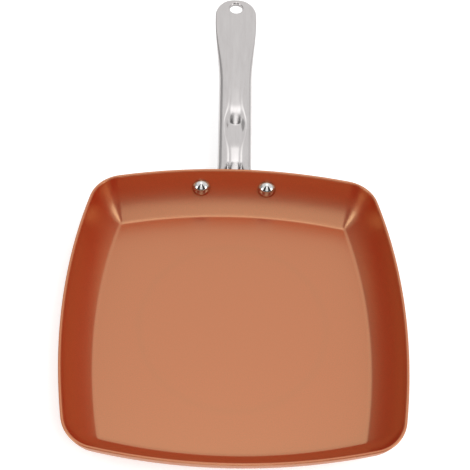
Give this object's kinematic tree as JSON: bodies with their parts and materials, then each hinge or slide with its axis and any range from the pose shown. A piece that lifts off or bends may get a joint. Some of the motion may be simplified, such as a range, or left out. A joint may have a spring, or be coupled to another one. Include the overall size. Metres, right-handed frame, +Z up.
{
  "type": "square frying pan",
  "caption": "Square frying pan with bowed sides, a flared wall, a copper-coloured coating, a steel base disc and a riveted hollow steel handle with a thumb rest and a hanging hole.",
  "frame": {"origin": "centre of the pan's underside, on the surface that it stands on", "axes": "+Z up out of the pan, +Y from the pan's centre towards the handle's tip, +X to the right of someone who looks along the handle from the pan"},
  "size_m": [0.244, 0.4184, 0.0714],
  "materials": {
    "copper_coat": "metallic copper-coloured ceramic coat, satin",
    "polished_steel": "polished",
    "rivet_steel": "polished dome",
    "satin_steel": "satin"
  },
  "bodies": {
    "root": {"pan_body": "copper_coat", "induction_plate": "satin_steel", "handle_bracket": "satin_steel", "handle_upper_shell": "polished_steel", "handle_lower_shell": "polished_steel", "rivet_left": "rivet_steel", "rivet_right": "rivet_steel"}
  },
  "joints": []
}
